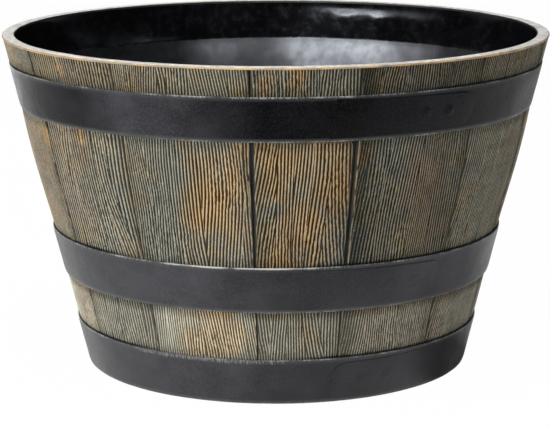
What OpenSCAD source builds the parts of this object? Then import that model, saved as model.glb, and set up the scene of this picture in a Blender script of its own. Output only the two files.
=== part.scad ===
// Half-cask flower pot in moulded plastic: a black tub dressed with wood-effect
// staves, three strap hoops with riveted laps, a painted rim and push-in drain plugs.
// Millimetres, +Z up. The origin is the centre of the base, on the ground.
// The front is -Y. Directions round the pot are degrees to the right of the front.

/* [Cask] */
// Outside diameter across the rim
rim_d = 500; // [440:5:560]
// Outside diameter of the staves at the ground
foot_d = 350; // [320:5:380]
// Height from the ground to the top of the rim
pot_h = 305; // [295:5:345]

/* [Wall] */
// Thickness of the tub's wall behind the staves, measured level
tub_wall = 3; // [2.5:0.5:5]
// Thickness of the staves, measured level
stave_t = 3.5; // [2.5:0.5:5]
// Width of the groove between two staves, at the rim
groove_w = 3; // [1.6:0.2:4.8]
// Bevel along the long edges of the staves
stave_bevel = 1.2; // [0.4:0.1:1.6]
// Swell of the staves between the middle and top hoops
stave_swell = 1.2; // [0.2:0.1:2]
// Gap left where one fixed piece seats against another
seat_gap = 0.1; // [0.05:0.05:0.2]

/* [Rim] */
// Width of the rim's top face
rim_w = 11.3; // [10:0.1:14]
// Thickness of the rim
rim_t = 2; // [2:0.25:5]
// Rounding of the rim's outer edge
rim_round = 1.4; // [0.5:0.1:1.6]
// Depth below the top at which the thick upper wall has thinned to the wall below
collar_h = 37.5; // [25:2.5:50]

/* [Floor] */
// Height of the floor's underside above the ground
floor_lift = 8; // [6:1:14]
// Thickness of the floor
floor_t = 4; // [3:0.5:6]
// Radius of the corner between the floor and the wall, inside
floor_corner_r = 12; // [6:1:20]
// Width of the ring that the pot stands on
foot_w = 12; // [10:1:18]
// Thickness of the flange that the staves stand on
foot_flange_t = 4; // [3:0.5:5]

/* [Drains] */
// Radius of the circle on which the drain holes lie
drain_circle_r = 105; // [70:5:125]
// Diameter of a drain hole
drain_d = 16; // [12:1:22]
// Running gap between a plug and the floor
plug_gap = 0.3; // [0.2:0.05:0.5]
// Width of a plug's flange past the hole
plug_lip = 5; // [3:0.5:8]
// Thickness of a plug's flange
plug_flange_t = 2.5; // [1.5:0.25:4]
// Length of a plug's stem past the floor's underside
plug_nose = 3; // [2:0.5:4]
// Diameter of the knob by which a plug is pulled
knob_d = 10; // [8:0.5:12]
// Height of the knob above the flange
knob_h = 7; // [5:0.5:10]
// Diameter of the knob's neck
neck_d = 6; // [4:0.5:7]

/* [Hoops] */
// Distance from the rim's top down to the top hoop's upper edge
top_hoop_drop = 25; // [15:0.5:40]
// Width of the top hoop
top_hoop_w = 39.5; // [36:0.5:44]
// Thickness of the top hoop
top_hoop_t = 1; // [0.8:0.1:2]
// Height of the middle hoop's lower edge
middle_hoop_z = 86.5; // [70:0.5:120]
// Width of the middle hoop
middle_hoop_w = 42; // [36:0.5:50]
// Thickness of the middle hoop
middle_hoop_t = 1.8; // [1:0.1:3]
// Width of the base hoop
base_hoop_w = 42; // [36:0.5:50]
// Thickness of the base hoop
base_hoop_t = 1.8; // [1:0.1:3]
// Bevel along a hoop's edges
hoop_bevel = 0.7; // [0.2:0.1:1]

/* [Laps and rivets] */
// Direction of the top hoop's lap tip
top_lap_turn = 43.7; // [30:0.1:60]
// Direction of the middle hoop's lap tip
middle_lap_turn = 43.8; // [30:0.1:60]
// Direction of the base hoop's lap tip
base_lap_turn = 15.1; // [0:0.1:30]
// Height by which a lap's tip stands out from its hoop
lap_t = 1.2; // [0.8:0.1:2]
// Height by which it still stands out at its tail
lap_tail_t = 0.3; // [0.2:0.1:0.6]
// Length of a lap, from its tip to its tail
lap_len = 92; // [80:1:110]
// Distance from a hoop's edge to its lap's edge
lap_inset = 4; // [3:0.5:6]
// Radius of the two corners of a lap's tip
lap_corner_r = 13; // [6:0.5:14]
// Distance from a lap's tip to its first rivet
rivet_setback = 28; // [22:1:34]
// Distance between a lap's two rivets
rivet_pitch = 25; // [20:1:30]
// Diameter of a rivet's head
rivet_d = 12; // [9:0.5:14]
// Height of a rivet's head
rivet_h = 1.8; // [1.2:0.1:3]
// Diameter of a rivet's shank
shank_d = 5; // [3:0.5:6]

/* [Hidden] */
$fn = 96;
// Share of the round that each stave takes, going right from the left of the front
stave_share = [25.5, 28.5, 21.5, 28.5, 28, 28, 30, 27, 29, 29, 28, 29, 28];
// Direction of the groove at the first stave's left side
first_groove_turn = -59;
plug_turns = [45, 135, 225, 315];
corner_steps = 8;
swell_steps = 8;
// Above 1, it lifts the fullest height of the swell past the middle
swell_lift = 1.4;

lean = (rim_d - foot_d) / 2 / pot_h;
taper = atan(lean);
floor_top = floor_lift + floor_t;
foot_inner_r = foot_d / 2 - foot_w;
under_rim = pot_h - rim_t;
collar_z = pot_h - collar_h;
top_hoop_z = pot_h - top_hoop_drop - top_hoop_w;
groove_turn = groove_w / (rim_d / 2) * 180 / PI;
share_sum = sum_to(stave_share, len(stave_share));

stave_names = [for (i = [1:len(stave_share)]) str("stave_", i < 10 ? "0" : "", i)];

// Sum of the first n values of a list
function sum_to(list, n) = n <= 0 ? 0 : list[n - 1] + sum_to(list, n - 1);
// Outer radius of the staves at height z
function cask_r(z) = foot_d / 2 + lean * z;
// Outer radius of the tub, behind the staves
function tub_r(z) = cask_r(z) - stave_t - seat_gap;
// Inner radius of the thin wall, and of the thick wall above it
function thin_bore_r(z) = cask_r(z) - stave_t - tub_wall;
function collar_bore_r(z) =
    let (top_r = rim_d / 2 - rim_w, low_r = thin_bore_r(collar_z))
    low_r + (top_r - low_r) * (z - collar_z) / collar_h;
// Degrees taken by a length laid round the staves at height z
function turn_of(length, z) = length / cask_r(z) * 180 / PI;
// How far a lap's circle is set off centre, so that the lap thins along its length
function lap_offset(z) = (lap_t - lap_tail_t) / (1 - cos(turn_of(lap_len, z)));
// Bevel of a hoop's edge, no more than half of its thickness
function bevel_of(t) = min(hoop_bevel, t / 2);
// Direction of rivet number i, on the tail side of the tip
function rivet_turn(z, tip, side, i) = tip - side * turn_of(rivet_setback + i * rivet_pitch, z);
// How far a lap stands out from its hoop, at an angle back from the tip
function lap_rise(z, back) = lap_t - lap_offset(z) * (1 - cos(back));

// Faces its child, drawn towards +X, in a direction round the pot
module facing(turn) {
    rotate([0, 0, turn - 90]) children();
}

// Black tub: foot ring and flange, floor with drain holes, thin wall, thick upper wall
module tub() {
    corner_z = floor_top + floor_corner_r;
    corner_x = thin_bore_r(corner_z) - floor_corner_r / cos(taper);
    inside_corner = [for (i = [corner_steps:-1:0])
        let (a = -90 + (90 - taper) * i / corner_steps)
        [corner_x + floor_corner_r * cos(a), corner_z + floor_corner_r * sin(a)]];
    top_z = under_rim - seat_gap;
    color("#1c1c1f") difference() {
        rotate_extrude() polygon(concat(
            [[0, floor_lift], [foot_inner_r, floor_lift], [foot_inner_r, 0], [cask_r(0), 0],
             [cask_r(foot_flange_t), foot_flange_t], [tub_r(foot_flange_t), foot_flange_t],
             [tub_r(top_z), top_z], [collar_bore_r(top_z), top_z], [thin_bore_r(collar_z), collar_z]],
            inside_corner,
            [[0, floor_top]]
        ));
        for (turn = plug_turns)
            facing(turn) translate([drain_circle_r, 0, floor_lift - 1])
                cylinder(d = drain_d, h = floor_t + 2);
    }
}

// Painted ring that closes the top of the tub and staves
module rim() {
    round_x = rim_d / 2 - rim_round;
    round_z = pot_h - rim_round;
    color("#c9b089") rotate_extrude() {
        polygon([[collar_bore_r(under_rim), under_rim], [cask_r(under_rim), under_rim],
                 [rim_d / 2, round_z], [round_x, round_z], [round_x, pot_h],
                 [collar_bore_r(pot_h), pot_h]]);
        intersection() {
            translate([round_x, round_z]) circle(r = rim_round);
            translate([round_x, round_z]) square(rim_round);
        }
    }
}

// One wood-effect stave, standing on the tub's flange and held under the rim. Its outer
// face swells between the middle and top hoops.
module stave(i) {
    low = foot_flange_t + seat_gap;
    high = under_rim - seat_gap;
    start = first_groove_turn + sum_to(stave_share, i) / share_sum * 360 + groove_turn / 2;
    width = stave_share[i] / share_sum * 360 - groove_turn;
    swell_low = middle_hoop_z + middle_hoop_w;
    swell = [for (i = [0:swell_steps])
        let (share = i / swell_steps, z = swell_low + (top_hoop_z - swell_low) * share)
        [cask_r(z) + stave_swell * sin(180 * pow(share, swell_lift)), z]];
    color(i % 2 == 0 ? "#7d6a49" : "#6f6348") difference() {
        facing(start) rotate_extrude(angle = width) polygon(concat(
            [[cask_r(low) - stave_t, low], [cask_r(low), low]],
            swell,
            [[cask_r(high), high], [cask_r(high) - stave_t, high]]
        ));
        for (turn = [start, start + width]) stave_edge(turn);
    }
}

// Square bar, on edge, whose axis runs up the corner of a stave and bevels it
module stave_edge(turn) {
    facing(turn) translate([foot_d / 2, 0, 0]) rotate([0, taper, 0])
        linear_extrude(height = pot_h / cos(taper))
            rotate(45) square(stave_bevel * sqrt(2), center = true);
}

// Outline of a lap seen square on: straight tail, tip with two round corners at +X
module lap_outline(reach, width) {
    centre = [reach - lap_corner_r, width / 2 - lap_corner_r];
    corner = [for (i = [0:corner_steps])
        let (a = 90 * i / corner_steps) lap_corner_r * [cos(a), sin(a)]];
    polygon(concat(
        [[-reach, -width / 2]],
        [for (i = [corner_steps:-1:0]) [centre[0] + corner[i][0], -centre[1] - corner[i][1]]],
        [for (point = corner) centre + point],
        [[-reach, width / 2]]
    ));
}

// Lapped end of a hoop: its outer face lies on an off-centre cone, so that it stands
// out most at the tip and has nearly run out into the hoop at its tail. side is 1 for
// a tip that points right and -1 for one that points left.
module hoop_lap(z0, w, t, tip, side) {
    mid = z0 + w / 2;
    lap_turn = turn_of(lap_len, mid);
    set_off = lap_offset(mid);
    low = z0 + lap_inset / 2;
    high = z0 + w - lap_inset / 2;
    intersection() {
        difference() {
            facing(tip) translate([set_off, 0, low])
                cylinder(r1 = cask_r(low) + t + lap_t - set_off,
                         r2 = cask_r(high) + t + lap_t - set_off, h = high - low);
            translate([0, 0, low])
                cylinder(r1 = cask_r(low) + t / 2, r2 = cask_r(high) + t / 2, h = high - low);
        }
        facing(tip - side * lap_turn / 2) translate([cask_r(mid) / 2, 0, mid])
            rotate([90, 0, 90]) linear_extrude(height = cask_r(mid))
                mirror([side > 0 ? 0 : 1, 0])
                    lap_outline(cask_r(mid) * sin(lap_turn / 2), w - 2 * lap_inset);
    }
}

// Closed strap round the cask, with its lapped end and its rivet holes
module hoop(z0, w, t, tip, side) {
    b = bevel_of(t);
    z1 = z0 + w;
    color("#2b2b2e") difference() {
        union() {
            rotate_extrude() polygon([
                [cask_r(z0) + seat_gap, z0], [cask_r(z0) + t - b, z0],
                [cask_r(z0 + b) + t, z0 + b], [cask_r(z1 - b) + t, z1 - b],
                [cask_r(z1) + t - b, z1], [cask_r(z1) + seat_gap, z1]
            ]);
            hoop_lap(z0, w, t, tip, side);
        }
        for (i = [0, 1])
            on_hoop(z0, w, t, tip, side, i) translate([0, 0, -t - 2 * lap_t])
                cylinder(d = shank_d + 2 * seat_gap, h = t + 4 * lap_t);
    }
}

// Places a child on the lap's face, square to it, at the centre of rivet i
module on_hoop(z0, w, t, tip, side, i) {
    mid = z0 + w / 2;
    turn = rivet_turn(mid, tip, side, i);
    rise = lap_rise(mid, abs(tip - turn));
    facing(turn) translate([cask_r(mid) + t + rise, 0, mid]) rotate([0, 90 + taper, 0]) children();
}

// Domed rivet: a head on the lap's face and a shank through the two layers of strap
module rivet(depth) {
    ball_r = (rivet_h * rivet_h + rivet_d * rivet_d / 4) / (2 * rivet_h);
    rotate_extrude() intersection() {
        translate([0, rivet_h - ball_r]) circle(r = ball_r);
        square([rivet_d / 2, rivet_h]);
    }
    translate([0, 0, -depth]) cylinder(d = shank_d, h = depth + rivet_h / 2);
}

// The two rivets of one hoop
module rivets(z0, w, t, tip, side) {
    mid = z0 + w / 2;
    head_gap = 2 * seat_gap;
    color("#232326") for (i = [0, 1]) {
        layers = t + lap_rise(mid, abs(tip - rivet_turn(mid, tip, side, i)));
        on_hoop(z0, w, t, tip, side, i) translate([0, 0, head_gap])
            rivet(layers * cos(taper) + head_gap - 3 * seat_gap);
    }
}

// Push-in plug of a drain hole, seated from inside: knob, flange, stem with a bevelled nose
module drain_plug(turn) {
    flange_r = drain_d / 2 + plug_lip;
    stem_r = drain_d / 2 - plug_gap;
    seat = plug_gap;
    nose_z = -floor_t - plug_nose;
    flange_z = seat + plug_flange_t;
    edge = plug_flange_t / 3;
    color("#3a3a3c") facing(turn) translate([drain_circle_r, 0, floor_top])
        rotate_extrude() polygon([
            [0, nose_z], [stem_r - plug_nose / 2, nose_z], [stem_r, nose_z + plug_nose],
            [stem_r, seat], [flange_r, seat], [flange_r, flange_z - edge], [flange_r - edge, flange_z],
            [neck_d / 2, flange_z], [neck_d / 2, flange_z + knob_h / 3],
            [knob_d / 2, flange_z + knob_h / 2], [knob_d / 2, flange_z + knob_h * 5 / 6],
            [knob_d / 2 - knob_h / 6, flange_z + knob_h], [0, flange_z + knob_h]
        ]);
}

module top_hoop() hoop(top_hoop_z, top_hoop_w, top_hoop_t, top_lap_turn, 1);
module top_hoop_rivets() rivets(top_hoop_z, top_hoop_w, top_hoop_t, top_lap_turn, 1);
module middle_hoop() hoop(middle_hoop_z, middle_hoop_w, middle_hoop_t, middle_lap_turn, 1);
module middle_hoop_rivets() rivets(middle_hoop_z, middle_hoop_w, middle_hoop_t, middle_lap_turn, 1);
module base_hoop() hoop(0, base_hoop_w, base_hoop_t, base_lap_turn, -1);
module base_hoop_rivets() rivets(0, base_hoop_w, base_hoop_t, base_lap_turn, -1);

tub();
rim();
for (i = [0:len(stave_share) - 1])
    stave(i);
top_hoop();
top_hoop_rivets();
middle_hoop();
middle_hoop_rivets();
base_hoop();
base_hoop_rivets();
for (i = [0:len(plug_turns) - 1])
    drain_plug(plug_turns[i]);
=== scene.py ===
# Half-cask flower pot in moulded plastic: wood-effect staves, strap hoops, painted rim, black inside
import math
import bmesh
import bpy
import numpy as np
from mathutils import Matrix, Vector


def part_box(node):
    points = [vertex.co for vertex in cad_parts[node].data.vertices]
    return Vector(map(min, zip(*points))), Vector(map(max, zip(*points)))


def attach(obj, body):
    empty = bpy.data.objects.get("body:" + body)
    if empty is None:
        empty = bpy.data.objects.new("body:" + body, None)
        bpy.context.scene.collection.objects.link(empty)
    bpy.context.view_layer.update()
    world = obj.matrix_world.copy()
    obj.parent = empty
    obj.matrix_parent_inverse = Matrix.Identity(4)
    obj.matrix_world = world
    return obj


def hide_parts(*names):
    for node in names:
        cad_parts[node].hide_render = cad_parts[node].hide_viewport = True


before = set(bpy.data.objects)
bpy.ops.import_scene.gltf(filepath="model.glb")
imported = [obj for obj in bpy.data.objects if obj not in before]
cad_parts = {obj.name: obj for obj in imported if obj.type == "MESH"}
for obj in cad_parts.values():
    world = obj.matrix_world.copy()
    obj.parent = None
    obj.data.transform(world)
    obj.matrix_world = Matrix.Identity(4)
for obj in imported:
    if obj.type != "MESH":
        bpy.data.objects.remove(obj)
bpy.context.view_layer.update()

print("frame loaded:", len(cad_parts), "nodes")

rimLow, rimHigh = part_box("rim")

# the cask that every piece lies on; metres, front is -Y, turns are degrees to the right of the front
cask = {
    "rimRadius": rimHigh.x,
    "height": rimHigh.z,
    "footRadius": 0.175,  # outside of the staves at the ground
    "staveThick": 0.0035,
    "wallThick": 0.003,
    "seatGap": 0.0001,
}
cask["lean"] = (cask["rimRadius"] - cask["footRadius"]) / cask["height"]


def caskRadius(z):
    return cask["footRadius"] + cask["lean"] * z


def roundCask(turn, z, out):
    # turn in radians, out measured level from the staves' outer face
    radius = caskRadius(z) + out
    return np.stack([radius * np.sin(turn), -radius * np.cos(turn), z], axis=-1)


def smooth(low, high, value):
    t = np.clip((value - low) / (high - low), 0, 1)
    return t * t * (3 - 2 * t)


def within(value, start, full, fading, end):
    # rises from 0 to 1 between start and full, and falls again between fading and end
    return smooth(start, full, value) * (1 - smooth(fading, end, value))


def softNoise(seed, x, y):
    # smooth noise from -1 to 1, one cell to each unit
    table = np.random.default_rng(seed).uniform(-1, 1, (128, 128))
    x, y = np.broadcast_arrays(x, y)
    column, row = np.floor(x).astype(int), np.floor(y).astype(int)
    across, up = smooth(0, 1, x - column), smooth(0, 1, y - row)

    def knot(i, j):
        return table[(column + i) % 128, (row + j) % 128]

    low = knot(0, 0) * (1 - across) + knot(1, 0) * across
    high = knot(0, 1) * (1 - across) + knot(1, 1) * across
    return low * (1 - up) + high * up


def getPoints(mesh):
    points = np.empty(len(mesh.vertices) * 3, np.float32)
    mesh.vertices.foreach_get("co", points)
    return points.reshape(-1, 3).astype(float)


def setPoints(mesh, points):
    mesh.vertices.foreach_set("co", points.astype(np.float32).ravel())
    mesh.update()


def turnsOf(points):
    # radians to the right of the front
    return np.arctan2(points[:, 0], -points[:, 1])


def awayFromSeam(turn, reach=0.2):
    # 0 at the back, where a ring's waves have to meet, and 1 beyond it
    return smooth(0, reach, math.pi - np.abs(turn))


def addNumbers(mesh, **layers):
    # a number at each point, for the paints to read
    for name, values in layers.items():
        layer = mesh.attributes.new(name, "FLOAT", "POINT")
        layer.data.foreach_set("value", values.astype(np.float32))


def addPiece(name, mesh, material, body, nodes, sharp=40):
    piece = bpy.data.objects.new(name, mesh)
    bpy.context.scene.collection.objects.link(piece)
    mesh.materials.append(material)
    mesh.shade_smooth()
    mesh.set_sharp_from_angle(angle=math.radians(sharp))
    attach(piece, body)
    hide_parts(*nodes)


def toMesh(bm, name):
    mesh = bpy.data.meshes.new(name)
    bm.to_mesh(mesh)
    bm.free()
    return mesh


def spinOutline(points, steps, closed=True):
    # turns an outline of (radius, z) points into a ring about the upright axis
    bm = bmesh.new()
    verts = [bm.verts.new((radius, 0, z)) for radius, z in points]
    for a, b in zip(verts, verts[1:]):
        bm.edges.new((a, b))
    if closed:
        bm.edges.new((verts[-1], verts[0]))
    bmesh.ops.spin(bm, geom=bm.verts[:] + bm.edges[:], cent=(0, 0, 0), axis=(0, 0, 1),
                   dvec=(0, 0, 0), angle=2 * math.pi, steps=steps, use_merge=True)
    bmesh.ops.remove_doubles(bm, verts=bm.verts[:], dist=1e-6)
    bmesh.ops.recalc_face_normals(bm, faces=bm.faces[:])
    return bm


def arc(centre, radius, start, end, steps):
    # points of a round stretch, angles in degrees from +X towards +Z
    angles = [math.radians(start + (end - start) * i / steps) for i in range(steps + 1)]
    return [(centre[0] + radius * math.cos(a), centre[1] + radius * math.sin(a)) for a in angles]


# Node helpers for the materials
def addNode(mat, kind, inputs=None, **settings):
    node = mat.node_tree.nodes.new("ShaderNode" + kind)
    for name, value in settings.items():
        setattr(node, name, value)
    for socket, value in (inputs or {}).items():
        if isinstance(value, bpy.types.NodeSocket):
            mat.node_tree.links.new(value, node.inputs[socket])
        else:
            node.inputs[socket].default_value = value
    return node


def startMaterial(name):
    mat = bpy.data.materials.new(name)
    mat.use_nodes = True
    mat.node_tree.nodes.clear()
    return mat


def closeMaterial(mat, shader):
    addNode(mat, "OutputMaterial", {"Surface": shader.outputs[0]})
    return mat


def plastic(mat, colour, rough, shine, normal, tint=(1, 1, 1, 1)):
    inputs = {"Base Color": colour, "Roughness": rough, "Specular IOR Level": shine,
              "Specular Tint": tint, "Normal": normal}
    return closeMaterial(mat, addNode(mat, "BsdfPrincipled", inputs))


def place(mat):
    return addNode(mat, "TexCoord").outputs["Object"]


def height(mat):
    return addNode(mat, "SeparateXYZ", {0: place(mat)}).outputs["Z"]


def distance(mat, where, spot=(0, 0, 0)):
    return addNode(mat, "VectorMath", {0: where, 1: spot}, operation="DISTANCE").outputs["Value"]


def rays(mat):
    # tells whether the camera, a reflection or a clear piece is looking
    sight = addNode(mat, "LightPath").outputs
    return [sight[name] for name in ("Is Camera Ray", "Is Glossy Ray", "Is Transmission Ray")]


def numbers(mat, name):
    return addNode(mat, "Attribute", attribute_name=name, attribute_type="GEOMETRY").outputs["Fac"]


def noise(mat, scale, detail, roughness, stretch=None):
    where = place(mat)
    if stretch:
        where = addNode(mat, "Mapping", {"Vector": where, "Scale": stretch}).outputs[0]
    return addNode(mat, "TexNoise", {"Vector": where, "Scale": scale, "Detail": detail,
                                     "Roughness": roughness}).outputs[0]


def spread(mat, value, low, high, toLow=0.0, toHigh=1.0):
    # maps low..high to toLow..toHigh and holds outside it
    return addNode(mat, "MapRange", {"Value": value, "From Min": low, "From Max": high,
                                     "To Min": toLow, "To Max": toHigh},
                   interpolation_type="SMOOTHSTEP").outputs[0]


def calc(mat, work, a, b=0.0, clamp=False):
    return addNode(mat, "Math", {0: a, 1: b}, operation=work, use_clamp=clamp).outputs[0]


def times(mat, a, b, clamp=False):
    return calc(mat, "MULTIPLY", a, b, clamp)


def plus(mat, a, b, clamp=False):
    return calc(mat, "ADD", a, b, clamp)


def mixColour(mat, amount, a, b):
    # a and b are sockets, or colours of three parts
    a, b = ((*part, 1) if isinstance(part, tuple) else part for part in (a, b))
    return addNode(mat, "Mix", {0: amount, 6: a, 7: b}, data_type="RGBA").outputs[2]


def bump(mat, value, strength, distance, below=None):
    inputs = {"Height": value, "Strength": strength, "Distance": distance}
    if below:
        inputs["Normal"] = below
    return addNode(mat, "Bump", inputs).outputs[0]


# Camera at the photograph's viewing angle
camera = {
    "place": (0, -2.0, 0.554),
    "tilt": 78.1,
    "roll": 0.15,
    "lens": 143.0,
}


def makeCamera():
    lensData = bpy.data.cameras.new("camera")
    lensData.lens = camera["lens"]
    lensData.sensor_width = 36
    view = bpy.data.objects.new("camera", lensData)
    view.location = camera["place"]
    view.rotation_euler = (math.radians(camera["tilt"]), math.radians(camera["roll"]), 0)
    bpy.context.scene.collection.objects.link(view)
    bpy.context.scene.camera = view


makeCamera()
print("camera set")


# Staves: moulded grain in relief, dry-brushed
staves = {
    "shares": [25.5, 28.5, 21.5, 28.5, 28, 28, 30, 27, 29, 29, 28, 29, 28],
    "firstGroove": -59,
    # width at the rim of the groove at each stave's left side
    "grooves": [0.0022, 0.001, 0.0034, 0.004, 0.0011, 0.0052, 0.0032, 0.002, 0.0036, 0.0014, 0.003,
                0.0018, 0.003],
    "waist": 0.72,  # what is left of a groove's width just over the middle hoop
    "narrowed": (0.28, 0.4),  # and below that hoop, and above the top one
    "lowShares": {0: 0.7, 3: 0.14, 5: 0.8},  # below it, where a groove differs
    "topShares": {0: 0.8, 3: 0.2, 5: 0.7},  # above it, likewise
    "tuckedIn": 0.005,  # how far behind a hoop each strip of the staves carries on
    # how hard the paint was rubbed on the edges beside the grooves: mostly, and by stave
    "bright": 0.3,
    "brightLeft": {2: 0.7, 4: 1.0, 9: 0.8},
    "brightRight": {2: 0.9, 13: 1.0, 7: 0.8},
    "brightStrips": 0.35,  # what is left of it in the lowest and topmost strips
    "bareStave": 4,  # hardly any paint was left beside its left edge
    "roundedStave": 3,  # its right edge ends in a rounded corner below the top hoop
    "cornerRound": 0.0045,
    # how pale each stave's coat is: between the upper hoops, above them, and below the middle one
    "tones": {1: 0.92, 2: 0.86, 3: 0.74, 4: 0.57, 5: 0.74, 13: 0.82},
    "topTones": {1: 0.7, 2: 0.77, 3: 0.66, 4: 0.39, 5: 0.54, 13: 0.66},
    "lowTones": {1: 0.79, 2: 1.2, 3: 0.71, 4: 0.83, 5: 0.68, 13: 1.12},
    "farTone": 0.84,
    "column": 0.00042,  # mesh spacing across, at the rim
    "row": 0.0014,  # mesh spacing up, where a stave shows
    "hiddenRow": 0.008,
    "relief": 0.0009,
    "pitch": 0.0026,  # from one ridge of the grain to the next
    "otherPitches": (0.86, 0.9),  # times the usual one, below the middle hoop and above the top one
    "pitches": {1: 1.35, 2: 1.05, 3: 1.15, 5: 1.2, 7: 1.1, 10: 1.2, 13: 1.15},  # the same, by stave
    "strandWidth": 0.02,
    "sway": 0.0105,  # how far a strand leans to and fro
    "swayLength": 0.13,
    "dip": 0.0002,  # shallow hollows in the face
    "arris": 0.0008,  # width of the worn edge, and the share of the groove's width added to it
    "arrisShare": 0.35,
    "arrisDrop": 0.0008,  # how far it falls, likewise
    "dropShare": 0.1,
    "belly": 0.0018,  # how far the staves swell between the middle and top hoops
    "bellyLift": 1.4,
    # degrees between which the ledge over each hoop is left lit; elsewhere it gets a painted shade line
    "litLedges": [(-36, 8), (-40, 10), (-52, 30)],
    # patches of warm brown paint, brushed last, of duller reddish and of cold grey paint:
    # the seed of those at the back, then degrees right of the front, height, radius
    "patches": {
        "warm": (7, [(-60, 0.23, 0.009), (-46, 0.231, 0.007), (-14, 0.188, 0.03), (-9, 0.205, 0.015),
                     (0, 0.215, 0.032), (6, 0.165, 0.033), (1, 0.14, 0.022), (12, 0.2, 0.03),
                     (-14, 0.066, 0.028), (-22, 0.058, 0.018), (8, 0.064, 0.012), (-48, 0.292, 0.008),
                     (-2, 0.292, 0.012), (4, 0.296, 0.012)]),
        "russet": (8, [(-46, 0.228, 0.022), (-46, 0.292, 0.02), (-68, 0.2, 0.05), (-52, 0.17, 0.035),
                       (-66, 0.066, 0.042), (34, 0.19, 0.03), (40, 0.155, 0.028), (60, 0.2, 0.03),
                       (66, 0.15, 0.035), (30, 0.062, 0.042), (44, 0.06, 0.034)]),
        "slate": (9, [(-45, 0.15, 0.035), (-40, 0.19, 0.035), (-28, 0.155, 0.04), (-25, 0.2, 0.032),
                      (-34, 0.068, 0.04), (-50, 0.062, 0.03), (16, 0.15, 0.02), (25, 0.22, 0.02),
                      (56, 0.2, 0.03), (62, 0.15, 0.03), (74, 0.22, 0.04), (52, 0.29, 0.03)]),
    },
    "farPatches": 34,  # how many of each are at the back
    # three coats by the height of the grain: two plain shades, the patches, and the lowest strip
    "coats": {
        "hollow": {"plain": [(0.035, 0.037, 0.030), (0.031, 0.025, 0.011)], "slate": (0.028, 0.035, 0.034),
                   "warm": (0.042, 0.022, 0.006), "lowest": (0.095, 0.092, 0.072)},
        "flank": {"plain": [(0.120, 0.112, 0.080), (0.138, 0.110, 0.058)], "russet": (0.155, 0.108, 0.075),
                  "slate": (0.104, 0.108, 0.088), "warm": (0.25, 0.142, 0.052),
                  "lowest": (0.215, 0.20, 0.15)},
        "ridge": {"plain": [(0.39, 0.365, 0.285), (0.41, 0.35, 0.23)], "russet": (0.36, 0.285, 0.22),
                  "slate": (0.335, 0.33, 0.265), "warm": (0.54, 0.39, 0.21), "lowest": (0.54, 0.52, 0.42)},
    },
    "streak": (0.52, 0.46, 0.34),  # pale upright streaks on the ridges
    "rubbed": (0.46, 0.35, 0.21),
    # colour of those specks, paint and painted glint
    "speckGlint": (0.72, 0.66, 0.52),
    "undercoat": [(0.030, 0.037, 0.040), (0.065, 0.056, 0.042)],  # bare in the grooves
    # colour of the painted shade over the hoops' ledges
    "ledge": (0.006, 0.006, 0.007),
}
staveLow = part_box("stave_01")[0].z
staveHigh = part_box("stave_01")[1].z
hoopBands = [(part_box(name)[0].z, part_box(name)[1].z) for name in ("base_hoop", "middle_hoop", "top_hoop")]


def staveRows():
    # fine rows where a stave shows, coarse ones behind the hoops
    tuck = 0.0015
    rows = []
    at = staveLow
    for low, high in hoopBands + [(staveHigh, staveHigh)]:
        if low - at > tuck:
            rows.append(np.arange(at, low + tuck, staves["row"]))
            at = rows[-1][-1] + staves["row"]
        if high > low:
            rows.append(np.arange(at, high - tuck, staves["hiddenRow"]))
            at = high - tuck
    rows = np.concatenate(rows)
    return np.append(rows[rows < staveHigh - staves["row"] / 2], staveHigh)


def grainHeight(across, up, halfWidth, seed, pitch):
    # ridge height from 0 to 1: strands of parallel ridges that sway and run into each other
    rng = np.random.default_rng(seed)
    count = max(3, round(2 * halfWidth / staves["strandWidth"]))
    spacing = 2 * halfWidth / count
    starts = rng.uniform(0, 100, count)
    sway = [staves["sway"] * rng.uniform(0.5, 1.2)
            * softNoise(seed + 1, up / staves["swayLength"] + starts[i], np.full_like(up, 3.7 * i))
            for i in range(count)]
    knotty = smooth(-0.1, 0.6, softNoise(seed + 10, across / 0.028 + 9, up / 0.05))
    bend = (0.0018 * softNoise(seed + 2, across / 0.03, up / 0.08)
            + (0.0002 + 0.0005 * knotty) * softNoise(seed + 3, across / 0.007, up / 0.016)
            + 0.00022 * knotty * softNoise(seed + 4, across / 0.0012, up / 0.0038))
    total = np.zeros(across.shape, complex)
    for i in range(count):
        weight = np.ones_like(across)
        if i > 0:
            start = -halfWidth + (i + rng.uniform(-0.3, 0.3)) * spacing
            edge = start + sway[i - rng.integers(0, 2)]
            weight = smooth(-0.0004, 0.0004, across - edge)
            total = total * (1 - weight)
        step = pitch * rng.uniform(0.92, 1.1)
        phase = 2 * math.pi * (across + bend - sway[i]) / step + rng.uniform(0, 6.3)
        total = total + weight * np.exp(1j * phase)
    wave = total.real / (np.abs(total) + 0.12)
    beads = softNoise(seed + 5, across / 0.0009, up / 0.002)
    gaps = softNoise(seed + 6, across / 0.004, up / 0.01)
    return smooth(-0.3, 0.5, wave + (0.15 + 0.45 * knotty) * beads + 0.15 * gaps + 0.05)


def patchCover(turn, z, seed, listed):
    # where a patch of paint shows, from 0 to 1: the listed ones, more at the back, and a soft cloud
    rng = np.random.default_rng(seed)
    patches = listed + [(rng.uniform(80, 290), rng.uniform(0.04, 0.3), rng.uniform(0.012, 0.034))
                        for _ in range(staves["farPatches"])]
    cover = np.zeros_like(turn)
    ragged = 0.4 * softNoise(71, turn / 0.08 + 64, z / 0.014)
    ragged = ragged + 0.25 * softNoise(72, turn / 0.03 + 64, z / 0.005)
    for degrees, high, radius in patches:
        along = np.sin((turn - math.radians(degrees)) / 2) * 2 * caskRadius(z)
        away = np.hypot(along, 0.7 * (z - high)) / radius
        cover = np.maximum(cover, 1 - smooth(0.1, 1.35, away + ragged * smooth(0.1, 0.6, away)))
    return np.clip(cover + 0.25 * softNoise(seed + 11, turn / 0.12 + 64, z / 0.03), 0, 1)


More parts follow.
